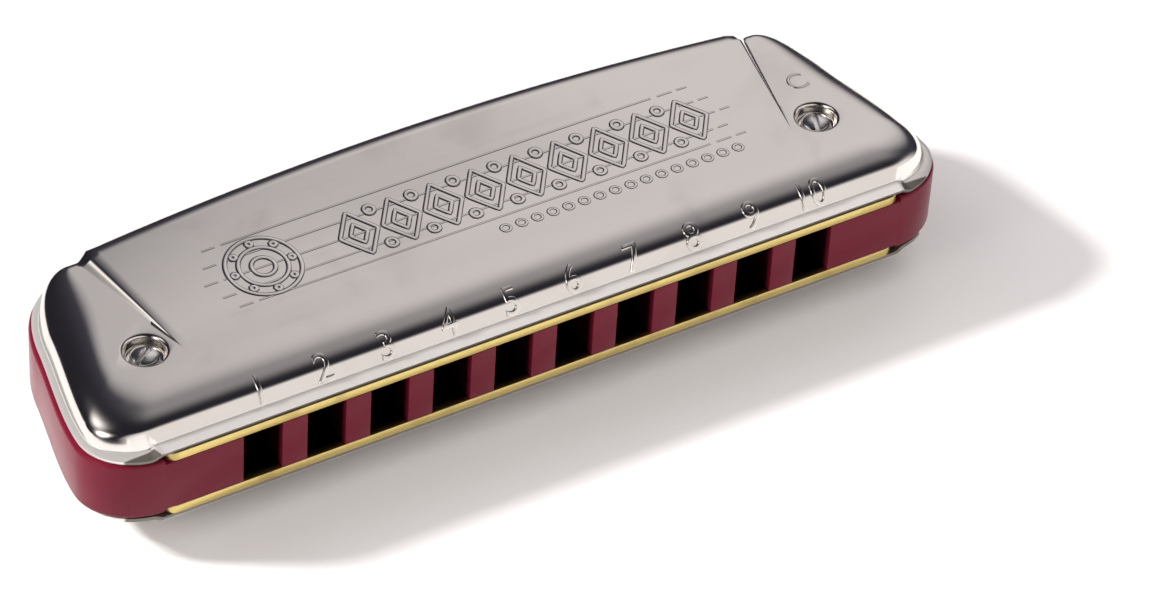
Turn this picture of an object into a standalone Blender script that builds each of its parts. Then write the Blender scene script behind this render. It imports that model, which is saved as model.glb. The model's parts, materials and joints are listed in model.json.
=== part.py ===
"""Ten-hole diatonic harmonica, modelled piece by piece.

Run with: blender --background --python part.py
The world origin is under the middle of the harmonica, on the surface it stands on.
+X runs along the holes from hole 1 to hole 10, the mouth side faces -Y and +Z is up.
Inside the script the pieces are laid out from the middle of the mouth face: y runs
back from the comb's front face and z runs up from the comb's middle plane.
"""
import math

import bmesh
import bpy
from mathutils import Matrix, Vector

MM = 0.001

# Holes and reeds
HOLE_COUNT = 10
HOLE_PITCH = 7.5 * MM
HOLE_WIDTH = 4.55 * MM
REED_LENGTH_LOW = 15.4 * MM       # tongue of hole 1
REED_LENGTH_HIGH = 9.4 * MM       # tongue of hole 10
REED_WIDTH = 2.0 * MM
REED_THICKNESS = 0.25 * MM
REED_SIDE_CLEARANCE = 0.1 * MM
REED_TIP_CLEARANCE = 0.15 * MM
REED_PAD_WIDTH = 3.0 * MM
REED_PAD_LENGTH = 3.0 * MM
REED_PAD_THICKNESS = 0.5 * MM
REED_PAD_LAP = 0.4 * MM           # the tongue's root runs this far into its pad
REED_OFFSET = 0.06 * MM           # tongue stands off its plate by this much
BLOW_TIP_Y = 4.5 * MM             # blow reeds: all tips in line behind the holes
DRAW_PAD_Y = 3.2 * MM             # draw reeds: all pads in line behind the holes

# Comb
END_BLOCK = 14.9 * MM             # solid end beyond the row of holes
BACK_WALL = 5.3 * MM              # behind the longest chamber
CHAMBER_BACK_GAP = 1.2 * MM       # behind a blow reed's pad
COMB_SEAT_HEIGHT = 6.34 * MM      # between the two faces that the plates lie on
LIP_HEIGHT = 0.53 * MM            # end lips above the plate seats
COMB_NOSE_Y = 6.2 * MM            # the comb is longest here
COMB_TAPER = 2.4 * MM             # each end narrows by this much to the heel
COMB_FRONT_TURN = 7.4 * MM        # the front corner starts this far from the end
COMB_HEEL = 9.4 * MM              # the back corner starts this far from the back
COMB_BACK_TURN = 9.9 * MM         # and ends this far from the end
CORNER_SWELL = 0.55               # handle length that makes a corner a quarter ellipse

# Reed plates
PLATE_BACK_LIP = 3.4 * MM         # comb left bare behind the plates
PLATE_THICKNESS = 1.05 * MM
PLATE_CORNER = 1.4 * MM

# Covers
SHEET = 0.4 * MM
FLANGE_EDGE_FRONT = 0.8 * MM      # flange's edge in from the comb's outline
FLANGE_EDGE_SIDE = 0.5 * MM
FLANGE_WIDTH_FRONT = 1.2 * MM
FLANGE_WIDTH_SIDE = 0.7 * MM
WALL_LEAN_FRONT = 0.2 * MM        # the wall leans in by this much up to the roll
WALL_LEAN_SIDE = 0.1 * MM
WALL_FOOT = 0.36 * MM             # upright part of the front wall
FLANGE_JOGGLE = 0.5 * MM          # the flange steps down onto the end lips
END_RISE = 2.96 * MM              # flat end parts above the flange
HOOD_RISE_SIDE = 0.85 * MM        # back of the hood above the end parts
HOOD_RISE_MIDDLE = 1.9 * MM
HOOD_BOW = 1.4 * MM               # middle of the back edge beyond its ends
HOOD_OVERHANG = -0.7 * MM         # ends of the back edge beyond the comb
HOOD_LIP_DROP = 0.8 * MM
CREASE_FRONT_Y = 10.5 * MM
CREASE_SPREAD = 3.76 * MM         # the creases lean outward to the back
CREASE_WIDTH = 1.2 * MM
FRONT_ROLL_DEPTH = 3.3 * MM
SIDE_ROLL = 1.5 * MM
BACK_ROLL_HEIGHT = 0.9 * MM

# Fasteners
COVER_SCREW_Y = 12.1 * MM
DIMPLE_RADIUS = 2.25 * MM
DIMPLE_DEPTH = 1.35 * MM
DIMPLE_TO_CREASE = 1.15 * MM      # metal between a dimple and the foot of the hood
SCREW_HEAD_RADIUS = 1.6 * MM
SCREW_HEAD_HEIGHT = 0.95 * MM
SCREW_HEAD_BEVEL = 0.25 * MM
SCREW_SHANK_RADIUS = 0.9 * MM
SCREW_SLOT_WIDTH = 0.55 * MM
SCREW_SLOT_DEPTH = 0.45 * MM
SCREW_SLOT_TURNS = (math.radians(31.0), math.radians(69.0))
NUT_ACROSS_FLATS = 3.5 * MM
NUT_HEIGHT = 1.0 * MM
PLATE_SCREW_END_X = 2.0 * MM      # beyond the row of holes
PLATE_SCREW_END_Y = 4.6 * MM
PLATE_SCREW_BACK = 6.0 * MM       # in from the plates' back edge
PLATE_SCREW_DIVIDERS = (2, 5, 8)  # between this hole and the next
PLATE_SCREW_RADIUS = 0.65 * MM
PLATE_SCREW_HEAD_RADIUS = 1.3 * MM
PLATE_SCREW_HEAD_HEIGHT = 0.6 * MM
RIVET_RADIUS = 0.65 * MM
RIVET_HEAD_RADIUS = 1.0 * MM
RIVET_HEAD_HEIGHT = 0.35 * MM

# Fits
SEAT_GAP = 0.06 * MM              # between stacked faces
BORE_GAP = 0.12 * MM              # around anything that passes through a hole
THROUGH = 2.0 * MM                # cutters run past the faces they cut

# Plan sizes that follow from the above
HOLES_HALF = HOLE_COUNT * HOLE_PITCH / 2
COMB_HALF_LENGTH = HOLES_HALF + END_BLOCK
CHAMBER_BACK = BLOW_TIP_Y + REED_LENGTH_LOW + REED_PAD_LENGTH + CHAMBER_BACK_GAP
COMB_DEPTH = CHAMBER_BACK + BACK_WALL
PLATE_HALF_LENGTH = COMB_HALF_LENGTH - COMB_FRONT_TURN
PLATE_DEPTH = COMB_DEPTH - PLATE_BACK_LIP
HOOD_BACK = COMB_DEPTH + HOOD_OVERHANG
COVER_SCREW_X = HOLES_HALF + DIMPLE_TO_CREASE + SHEET + DIMPLE_RADIUS
OVERALL_DEPTH = HOOD_BACK + HOOD_BOW

# Heights that follow from the above, over the comb's middle plane
SEAT_Z = COMB_SEAT_HEIGHT / 2
LIP_Z = SEAT_Z + LIP_HEIGHT
PLATE_IN_Z = SEAT_Z + SEAT_GAP
PLATE_OUT_Z = PLATE_IN_Z + PLATE_THICKNESS
FLANGE_Z = PLATE_OUT_Z + SEAT_GAP + SHEET
END_TOP = FLANGE_Z + END_RISE
DIMPLE_FLOOR_Z = END_TOP - DIMPLE_DEPTH
OVERALL_HEIGHT = 2 * (END_TOP + HOOD_RISE_MIDDLE)

COLLECTION = "harmonica"
CUTTERS = "cutters"


# Scene helpers

def clear_scene():
    for item in list(bpy.data.objects):
        bpy.data.objects.remove(item, do_unlink=True)
    for name in (COLLECTION, CUTTERS):
        group = bpy.data.collections.new(name)
        bpy.context.scene.collection.children.link(group)


def make_material(name, color, roughness, metallic):
    material = bpy.data.materials.new(name)
    material.use_nodes = True
    shader = material.node_tree.nodes["Principled BSDF"]
    shader.inputs["Base Color"].default_value = (*color, 1.0)
    shader.inputs["Roughness"].default_value = roughness
    shader.inputs["Metallic"].default_value = metallic
    return material


def add_object(name, data, material=None, parent=None, group=COLLECTION):
    item = bpy.data.objects.new(name, data)
    bpy.data.collections[group].objects.link(item)
    item.parent = parent
    if material:
        data.materials.clear()
        data.materials.append(material)
    return item


def add_empty(name, location, parent=None):
    empty = bpy.data.objects.new(name, None)
    empty.empty_display_size = 2 * MM
    empty.location = location
    empty.parent = parent
    bpy.data.collections[COLLECTION].objects.link(empty)
    return empty


def mesh_from_bmesh(name, bm):
    mesh = bpy.data.meshes.new(name)
    bmesh.ops.recalc_face_normals(bm, faces=bm.faces)
    bm.to_mesh(mesh)
    bm.free()
    return mesh


def add_block(bm, low, high):
    size = Vector(high) - Vector(low)
    middle = (Vector(high) + Vector(low)) / 2
    placed = Matrix.Translation(middle) @ Matrix.Diagonal((*size, 1.0))
    bmesh.ops.create_cube(bm, size=1.0, matrix=placed)


def add_rod(bm, x, y, radius, low, high, segments=16):
    placed = Matrix.Translation((x, y, (low + high) / 2))
    bmesh.ops.create_cone(bm, cap_ends=True, segments=segments, radius1=radius,
                          radius2=radius, depth=high - low, matrix=placed)


def plate_from_outline(name, points, thickness):
    """Flat plate from a closed outline of (x, y) points, centred on z = 0."""
    curve = bpy.data.curves.new(name, "CURVE")
    curve.dimensions = "2D"
    curve.fill_mode = "BOTH"
    curve.extrude = thickness / 2
    spline = curve.splines.new("POLY")
    spline.points.add(len(points) - 1)
    for point, (x, y) in zip(spline.points, points):
        point.co = (x, y, 0.0, 1.0)
    spline.use_cyclic_u = True
    holder = add_object(name + "_outline", curve, group=CUTTERS)
    bpy.context.view_layer.update()
    evaluated = holder.evaluated_get(bpy.context.evaluated_depsgraph_get())
    mesh = bpy.data.meshes.new_from_object(evaluated)
    bpy.data.objects.remove(holder, do_unlink=True)
    mesh.name = name
    bm = bmesh.new()
    bm.from_mesh(mesh)
    bmesh.ops.remove_doubles(bm, verts=bm.verts, dist=1e-6)
    bmesh.ops.recalc_face_normals(bm, faces=bm.faces)
    bm.to_mesh(mesh)
    bm.free()
    return mesh


def boolean_with(item, bm, name, operation="DIFFERENCE", place=(0, 0, 0), turn=(0, 0, 0)):
    """Cut or join a tool that shares the item's parent."""
    tool = add_object(name, mesh_from_bmesh(name, bm), group=CUTTERS)
    tool.parent = item.parent
    tool.rotation_euler = turn
    tool.location = place
    tool.hide_render = True
    tool.display_type = "WIRE"
    step = item.modifiers.new(name, "BOOLEAN")
    step.object = tool
    step.operation = operation
    step.solver = "EXACT"


def add_turned(name, profile, material, parent, steps=16):
    """Solid of revolution about Z from (radius, z) points, top to bottom."""
    bm = bmesh.new()
    verts = [bm.verts.new((radius, 0.0, z)) for radius, z in profile]
    for first, second in zip(verts, verts[1:]):
        bm.edges.new((first, second))
    mesh = bpy.data.meshes.new(name)
    bm.to_mesh(mesh)
    bm.free()
    item = add_object(name, mesh, material, parent)
    screw = item.modifiers.new("turn", "SCREW")
    screw.axis = "Z"
    screw.steps = steps
    screw.render_steps = steps
    screw.use_merge_vertices = True
    screw.merge_threshold = 1e-6
    screw.use_smooth_shade = False
    return item


# Positions shared by the comb, the plates, the reeds and the rivets

def hole_x(hole):
    return (hole - (HOLE_COUNT + 1) / 2) * HOLE_PITCH


def reed_length(hole):
    share = (hole - 1) / (HOLE_COUNT - 1)
    return REED_LENGTH_LOW + (REED_LENGTH_HIGH - REED_LENGTH_LOW) * share


def blow_root_y(hole):
    return BLOW_TIP_Y + reed_length(hole)


def chamber_back_y(hole):
    return blow_root_y(hole) + REED_PAD_LENGTH + CHAMBER_BACK_GAP


def cover_screw_places():
    return [(-COVER_SCREW_X, COVER_SCREW_Y), (COVER_SCREW_X, COVER_SCREW_Y)]


def plate_screw_places():
    end_x = HOLES_HALF + PLATE_SCREW_END_X
    back_y = PLATE_DEPTH - PLATE_SCREW_BACK
    ends = [(side * end_x, PLATE_SCREW_END_Y) for side in (-1, 1)]
    back = [(hole_x(hole + 0.5), back_y) for hole in PLATE_SCREW_DIVIDERS]
    return ends + back


# Plan outline of the comb. The covers follow the same outline, moved inward.

def bezier(start, handle_1, handle_2, end, t):
    s = 1 - t
    return tuple(a * s ** 3 + 3 * b * s * s * t + 3 * c * s * t * t + d * t ** 3
                 for a, b, c, d in zip(start, handle_1, handle_2, end))


def plan_stretches(front, side):
    """Right half of the outline, front to back, moved inward by front and side."""
    turn = (COMB_HALF_LENGTH - COMB_FRONT_TURN, front)
    nose = (COMB_HALF_LENGTH - side, COMB_NOSE_Y)
    waist = (COMB_HALF_LENGTH - COMB_TAPER - side, COMB_DEPTH - COMB_HEEL)
    back = (COMB_HALF_LENGTH - COMB_BACK_TURN, COMB_DEPTH - side)
    corner = ((turn[0] + CORNER_SWELL * (nose[0] - turn[0]), front),
              (nose[0], nose[1] - CORNER_SWELL * (nose[1] - front)))
    run = 0.29 * (waist[1] - nose[1])
    slope = COMB_TAPER / (waist[1] - nose[1])
    flank = ((nose[0], nose[1] + run), (waist[0] + slope * run, waist[1] - run))
    heel_run = CORNER_SWELL * (back[1] - waist[1])
    heel = ((waist[0] - slope * heel_run, waist[1] + heel_run),
            (back[0] + CORNER_SWELL * (waist[0] - back[0]), back[1]))
    return [(turn, *corner, nose), (nose, *flank, waist), (waist, *heel, back)]


def plan_curve(front, side, counts=(4, 3, 5)):
    """Points along the right half of the outline, from the front turn to the back."""
    stretches = plan_stretches(front, side)
    points = [stretches[0][0]]
    for stretch, count in zip(stretches, counts):
        points += [bezier(*stretch, step / count) for step in range(1, count + 1)]
    return points


# Comb

def build_comb(material, parent):
    half = plan_curve(0.0, 0.0)
    outline = half + [(-x, y) for x, y in reversed(half)]
    mesh = plate_from_outline("comb", outline, 2 * LIP_Z)
    comb = add_object("comb", mesh, material, parent)
    seats = bmesh.new()
    half_seat = PLATE_HALF_LENGTH + SEAT_GAP
    for side in (-1, 1):
        low, high = sorted((side * SEAT_Z, side * (LIP_Z + THROUGH)))
        add_block(seats, (-half_seat, -THROUGH, low), (half_seat, PLATE_DEPTH + SEAT_GAP, high))
    boolean_with(comb, seats, "comb_seats")
    chambers = bmesh.new()
    for hole in range(1, HOLE_COUNT + 1):
        x = hole_x(hole)
        add_block(chambers, (x - HOLE_WIDTH / 2, -THROUGH, -LIP_Z - THROUGH),
                  (x + HOLE_WIDTH / 2, chamber_back_y(hole), LIP_Z + THROUGH))
    boolean_with(comb, chambers, "comb_chambers")
    bores = bmesh.new()
    reach = LIP_Z + THROUGH
    for x, y in cover_screw_places():
        add_rod(bores, x, y, SCREW_SHANK_RADIUS + BORE_GAP, -reach, reach, 12)
    for x, y in plate_screw_places():
        add_rod(bores, x, y, PLATE_SCREW_RADIUS + BORE_GAP, -reach, reach, 12)
    boolean_with(comb, bores, "comb_bores")
    return comb


# Reed plates

def plate_outline():
    half = PLATE_HALF_LENGTH
    cut = PLATE_CORNER
    return [(-half + cut, 0.0), (half - cut, 0.0), (half, cut), (half, PLATE_DEPTH - cut),
            (half - cut, PLATE_DEPTH), (-half + cut, PLATE_DEPTH),
            (-half, PLATE_DEPTH - cut), (-half, cut)]


def slot_span(kind, hole):
    """Front and back end of a reed's slot."""
    tip = reed_length(hole) + REED_TIP_CLEARANCE
    if kind == "blow":
        root = blow_root_y(hole)
        return root - tip, root
    root = DRAW_PAD_Y + REED_PAD_LENGTH
    return root, root + tip


def rivet_y(kind, hole):
    if kind == "blow":
        return blow_root_y(hole) + REED_PAD_LENGTH / 2
    return DRAW_PAD_Y + REED_PAD_LENGTH / 2


def build_plate(kind, material, parent):
    side = 1 if kind == "blow" else -1
    name = kind + "_reed_plate"
    plate = add_object(name, plate_from_outline(name, plate_outline(), PLATE_THICKNESS),
                       material, parent)
    plate.location.z = side * (PLATE_IN_Z + PLATE_THICKNESS / 2)
    openings = bmesh.new()
    low, high = sorted((side * (PLATE_IN_Z - THROUGH), side * (PLATE_OUT_Z + THROUGH)))
    half_slot = REED_WIDTH / 2 + REED_SIDE_CLEARANCE
    for hole in range(1, HOLE_COUNT + 1):
        x = hole_x(hole)
        front, back = slot_span(kind, hole)
        add_block(openings, (x - half_slot, front, low), (x + half_slot, back, high))
        add_rod(openings, x, rivet_y(kind, hole), RIVET_RADIUS + BORE_GAP, low, high, 10)
    for x, y in cover_screw_places():
        add_rod(openings, x, y, SCREW_SHANK_RADIUS + BORE_GAP, low, high, 12)
    for x, y in plate_screw_places():
        add_rod(openings, x, y, PLATE_SCREW_RADIUS + BORE_GAP, low, high, 12)
    boolean_with(plate, openings, name + "_openings")
    return plate


# Reeds: a thick pad riveted to the plate and a thin tongue over the slot.
# Each reed hangs from an empty on the line that it bends about, at the tongue's root.

def build_reed(kind, hole, material, parent):
    name = "%s_reed_%02d" % (kind, hole)
    inward = -1 if kind == "blow" else 1
    plate_face = PLATE_IN_Z - SEAT_GAP if kind == "blow" else -(PLATE_OUT_Z + SEAT_GAP)
    if kind == "blow":
        root = blow_root_y(hole)
    else:
        root = DRAW_PAD_Y + REED_PAD_LENGTH
    tongue_near = REED_OFFSET
    tongue_far = REED_OFFSET + REED_THICKNESS
    bend = Vector((hole_x(hole), root, plate_face - tongue_near - REED_THICKNESS / 2))
    pivot = add_empty(name + "_bend", bend, parent)
    # Heights run away from the plate, so the pad and the tongue are both below their plate
    pad_back = -inward * REED_PAD_LENGTH
    tip = inward * reed_length(hole)
    top = plate_face - bend.z
    pad = bmesh.new()
    low_y, high_y = sorted((0.0, pad_back))
    add_block(pad, (-REED_PAD_WIDTH / 2, low_y, top - REED_PAD_THICKNESS),
              (REED_PAD_WIDTH / 2, high_y, top))
    reed = add_object(name, mesh_from_bmesh(name, pad), material, pivot)
    tongue = bmesh.new()
    low_y, high_y = sorted((-inward * 0.4 * MM, tip))
    add_block(tongue, (-REED_WIDTH / 2, low_y, top - tongue_far),
              (REED_WIDTH / 2, high_y, top - tongue_near))
    boolean_with(reed, tongue, name + "_tongue", "UNION")
    eye = bmesh.new()
    add_rod(eye, 0.0, rivet_y(kind, hole) - root, RIVET_RADIUS + BORE_GAP,
            top - REED_PAD_THICKNESS - THROUGH, top + THROUGH, 10)
    boolean_with(reed, eye, name + "_eye")
    return reed


def build_rivet(kind, hole, material, parent):
    """Head under the pad, shank up through the pad and the plate."""
    name = "%s_rivet_%02d" % (kind, hole)
    plate_face = PLATE_IN_Z - SEAT_GAP if kind == "blow" else -(PLATE_OUT_Z + SEAT_GAP)
    seat = plate_face - REED_PAD_THICKNESS - SEAT_GAP
    end = plate_face + SEAT_GAP + PLATE_THICKNESS
    profile = [(0.0, end), (RIVET_RADIUS, end), (RIVET_RADIUS, seat),
               (RIVET_HEAD_RADIUS, seat), (RIVET_HEAD_RADIUS * 0.8, seat - RIVET_HEAD_HEIGHT),
               (0.0, seat - RIVET_HEAD_HEIGHT)]
    rivet = add_turned(name, profile, material, parent, steps=10)
    rivet.location = (hole_x(hole), rivet_y(kind, hole), 0.0)
    return rivet


# Covers

def cover_rows(arc_steps=4):
    """(front inset, side inset, kind, share of the roll) for each row of the wall."""
    foot_front = FLANGE_EDGE_FRONT + FLANGE_WIDTH_FRONT
    foot_side = FLANGE_EDGE_SIDE + FLANGE_WIDTH_SIDE
    rows = [(FLANGE_EDGE_FRONT, FLANGE_EDGE_SIDE, "flange", 0.0),
            (foot_front, foot_side, "flange", 0.0)]
    for step in range(arc_steps + 1):
        angle = math.pi / 2 * step / arc_steps
        inward = 1 - math.cos(angle)
        rows.append((foot_front + WALL_LEAN_FRONT + FRONT_ROLL_DEPTH * inward,
                     foot_side + WALL_LEAN_SIDE + SIDE_ROLL * inward,
                     "wall", math.sin(angle)))
    return rows


def smooth_step(low, high, value):
    t = min(max((value - low) / (high - low), 0.0), 1.0)
    return t * t * (3 - 2 * t)


def flange_height(x, y):
    start = 0.2 * MM
    stop = 1.4 * MM
    past_plate = smooth_step(PLATE_HALF_LENGTH + start, PLATE_HALF_LENGTH + stop, abs(x))
    behind_plate = smooth_step(PLATE_DEPTH + start, PLATE_DEPTH + stop, y)
    return FLANGE_Z - FLANGE_JOGGLE * max(past_plate, behind_plate)


def end_columns(front, side, counts):
    """One row of the right end part, from the hood's front corner round to the crease."""
    curve = plan_curve(front, side, counts)
    start = (HOLES_HALF, front)
    finish = (HOLES_HALF + CREASE_SPREAD, COMB_DEPTH - side)
    return [start] + curve + [finish]


def roll_height(column, column_count):
    """The front roll is deep, the side and back rolls are tight."""
    share = smooth_step(2.0, 5.0, column)
    back = smooth_step(column_count - 5.0, column_count - 1.0, column)
    front_roll = END_RISE - WALL_FOOT
    side_roll = min(SIDE_ROLL, front_roll)
    round_end = front_roll + (side_roll - front_roll) * share
    return round_end + (BACK_ROLL_HEIGHT - side_roll) * back


def hood_height(u, along):
    """Top of the hood at u across (0 middle, 1 crease) and along (0 front, 1 back)."""
    rise = HOOD_RISE_MIDDLE + (HOOD_RISE_SIDE - HOOD_RISE_MIDDLE) * u * u
    return END_TOP + rise * along


def build_cover_mesh():
    """Right half of the upper cover's outer skin, open at x = 0."""
    bm = bmesh.new()
    counts = (4, 3, 4)
    rows = cover_rows()
    flat_back = COMB_DEPTH - rows[-1][1]

    # End part: rows from the flange up to the rolled edge
    end_part = []
    for front, side, kind, share in rows:
        places = end_columns(front, side, counts)
        line = []
        for column, (x, y) in enumerate(places):
            z = flange_height(x, y)
            if kind == "wall":
                roll = roll_height(column, len(places))
                z = END_TOP - roll * (1 - share)
            line.append(bm.verts.new((x, y, z)))
        end_part.append(line)
    columns = len(end_part[0])

    # The crease: its foot on the end part, its top on the hood
    foot = []
    top = []
    for step in range(columns):
        along = step / (columns - 1)
        x = HOLES_HALF + CREASE_SPREAD * along
        y = CREASE_FRONT_Y + (flat_back - CREASE_FRONT_Y) * along
        last = step == columns - 1
        foot.append(end_part[-1][-1] if last else bm.verts.new((x, y, END_TOP)))
        if step == 0:
            top.append(foot[0])
        else:
            top.append(bm.verts.new((x - CREASE_WIDTH * along, y, hood_height(1.0, along))))
    faces = []
    for lower, upper in zip(end_part, end_part[1:]):
        for column in range(columns - 1):
            faces.append((lower[column], lower[column + 1], upper[column + 1], upper[column]))
    for column in range(columns - 1):
        quad = [end_part[-1][column], end_part[-1][column + 1], foot[column + 1], foot[column]]
        faces.append(tuple(dict.fromkeys(quad)))
        quad = [foot[column], foot[column + 1], top[column + 1], top[column]]
        faces.append(tuple(dict.fromkeys(quad)))

    # Hood: rows from the front flange to the back lip, columns from the middle out
    across = 4
    hood = []
    for line in end_part:
        row = [bm.verts.new((HOLES_HALF * u / across, line[0].co.y, line[0].co.z))
               for u in range(across)]
        hood.append(row + [line[0]])
    for step in range(columns):
        along = step / (columns - 1)
        edge = top[step]
        row = []
        for u in range(across):
            share = u / across
            bow = HOOD_BOW * (1 - share * share) * along
            row.append(bm.verts.new((edge.co.x * share, edge.co.y + bow,
                                     hood_height(share, along))))
        hood.append(row + [edge])
    lip_steps = 3
    lip_reach = HOOD_BACK - flat_back
    for step in range(1, lip_steps + 1):
        angle = math.pi / 3 * step / lip_steps
        out = lip_reach * math.sin(angle) / math.sin(math.pi / 3)
        drop = HOOD_LIP_DROP * (1 - math.cos(angle)) / (1 - math.cos(math.pi / 3))
        row = []
        for u in range(across + 1):
            share = u / across
            bow = HOOD_BOW * (1 - share * share)
            row.append(bm.verts.new((top[-1].co.x * share, flat_back + out + bow,
                                     hood_height(share, 1.0) - drop)))
        hood.append(row)
    for lower, upper in zip(hood, hood[1:]):
        for u in range(across):
            faces.append((lower[u], lower[u + 1], upper[u + 1], upper[u]))
    # The crease facet runs on down beside the lip
    for step in range(lip_steps):
        end_1 = end_part[-1 - step][-1]
        end_2 = end_part[-2 - step][-1]
        hood_1 = hood[-1 - lip_steps + step][-1]
        hood_2 = hood[-lip_steps + step][-1]
        faces.append((hood_1, end_1, end_2, hood_2))
    for face in faces:
        bm.faces.new(face)
    bmesh.ops.recalc_face_normals(bm, faces=bm.faces)
    bm.normal_update()
    if sum(face.normal.z for face in bm.faces) < 0:
        bmesh.ops.reverse_faces(bm, faces=bm.faces)
    mesh = bpy.data.meshes.new("cover_skin")
    bm.to_mesh(mesh)
    bm.free()
    return mesh


def build_cover(name, material, parent, upside_down):
    cover = add_object(name, build_cover_mesh(), material, parent)
    turn = (0.0, math.pi if upside_down else 0.0, 0.0)
    cover.rotation_euler = turn
    mirror = cover.modifiers.new("halves", "MIRROR")
    mirror.use_axis[0] = True
    mirror.use_clip = True
    mirror.merge_threshold = 1e-6
    sheet = cover.modifiers.new("sheet", "SOLIDIFY")
    sheet.thickness = SHEET
    sheet.offset = -1.0
    sheet.use_even_offset = True
    cups = bmesh.new()
    recesses = bmesh.new()
    bores = bmesh.new()
    for x, y in cover_screw_places():
        add_rod(cups, x, y, DIMPLE_RADIUS + SHEET, DIMPLE_FLOOR_Z - SHEET,
                END_TOP - SHEET / 2, 20)
        add_rod(recesses, x, y, DIMPLE_RADIUS, DIMPLE_FLOOR_Z, END_TOP + THROUGH, 20)
        add_rod(bores, x, y, SCREW_SHANK_RADIUS + BORE_GAP, DIMPLE_FLOOR_Z - THROUGH,
                DIMPLE_FLOOR_Z + THROUGH, 12)
    boolean_with(cover, cups, name + "_cups", "UNION", turn=turn)
    boolean_with(cover, recesses, name + "_recesses", turn=turn)
    boolean_with(cover, bores, name + "_bores", turn=turn)
    return cover


# Fasteners

def build_cover_screw(index, place, material, parent):
    name = "cover_screw_%d" % (index + 1)
    under_head = DIMPLE_FLOOR_Z + SEAT_GAP
    head_top = under_head + SCREW_HEAD_HEIGHT
    tip = -(DIMPLE_FLOOR_Z + SEAT_GAP + NUT_HEIGHT)
    profile = [(0.0, head_top), (SCREW_HEAD_RADIUS * 0.85, head_top),
               (SCREW_HEAD_RADIUS, head_top - 0.25 * MM), (SCREW_HEAD_RADIUS, under_head),
               (SCREW_SHANK_RADIUS, under_head), (SCREW_SHANK_RADIUS, tip), (0.0, tip)]
    screw = add_turned(name, profile, material, parent, steps=20)
    screw.location = (*place, 0.0)
    slot = bmesh.new()
    add_block(slot, (-SCREW_HEAD_RADIUS - THROUGH, -SCREW_SLOT_WIDTH / 2,
                     head_top - SCREW_SLOT_DEPTH),
              (SCREW_HEAD_RADIUS + THROUGH, SCREW_SLOT_WIDTH / 2, head_top + THROUGH))
    boolean_with(screw, slot, name + "_slot", place=screw.location,
                 turn=(0.0, 0.0, SCREW_SLOT_TURNS[index]))
    return screw


def build_cover_nut(index, place, material, parent):
    name = "cover_nut_%d" % (index + 1)
    top = -(DIMPLE_FLOOR_Z + SEAT_GAP)
    body = bmesh.new()
    radius = NUT_ACROSS_FLATS / 2 / math.cos(math.pi / 6)
    add_rod(body, 0.0, 0.0, radius, top - NUT_HEIGHT, top, 6)
    nut = add_object(name, mesh_from_bmesh(name, body), material, parent)
    nut.location = (*place, 0.0)
    bore = bmesh.new()
    add_rod(bore, 0.0, 0.0, SCREW_SHANK_RADIUS + BORE_GAP, top - NUT_HEIGHT - THROUGH,
            top + THROUGH, 12)
    boolean_with(nut, bore, name + "_bore", place=nut.location)
    return nut


def build_plate_screw(index, place, material, parent):
    """Head under the draw plate, thread ending inside the blow plate."""
    name = "plate_screw_%d" % (index + 1)
    under_head = -(PLATE_OUT_Z + SEAT_GAP)
    head_end = under_head - PLATE_SCREW_HEAD_HEIGHT
    tip = PLATE_OUT_Z
    profile = [(0.0, tip), (PLATE_SCREW_RADIUS, tip), (PLATE_SCREW_RADIUS, under_head),
               (PLATE_SCREW_HEAD_RADIUS, under_head), (PLATE_SCREW_HEAD_RADIUS * 0.85, head_end),
               (0.0, head_end)]
    screw = add_turned(name, profile, material, parent, steps=12)
    screw.location = (*place, 0.0)
    return screw


def main():
    clear_scene()
    plastic = make_material("comb_plastic", (0.12, 0.008, 0.022), 0.25, 0.0)
    nickel = make_material("cover_nickel", (0.78, 0.75, 0.72), 0.16, 1.0)
    brass = make_material("plate_brass", (0.78, 0.58, 0.26), 0.3, 1.0)
    bronze = make_material("reed_bronze", (0.72, 0.5, 0.24), 0.25, 1.0)
    steel = make_material("screw_steel", (0.6, 0.6, 0.6), 0.3, 1.0)

    root = add_empty("harmonica_frame", (0.0, -OVERALL_DEPTH / 2, OVERALL_HEIGHT / 2))
    build_comb(plastic, root)
    for kind in ("blow", "draw"):
        build_plate(kind, brass, root)
        for hole in range(1, HOLE_COUNT + 1):
            build_reed(kind, hole, bronze, root)
            build_rivet(kind, hole, brass, root)
    build_cover("upper_cover", nickel, root, False)
    build_cover("lower_cover", nickel, root, True)
    for index, place in enumerate(cover_screw_places()):
        build_cover_screw(index, place, steel, root)
        build_cover_nut(index, place, steel, root)
    for index, place in enumerate(plate_screw_places()):
        build_plate_screw(index, place, steel, root)
    bpy.context.view_layer.update()


main()
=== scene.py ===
import json
import math

import bmesh
import bpy
from mathutils import Matrix, Vector


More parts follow.
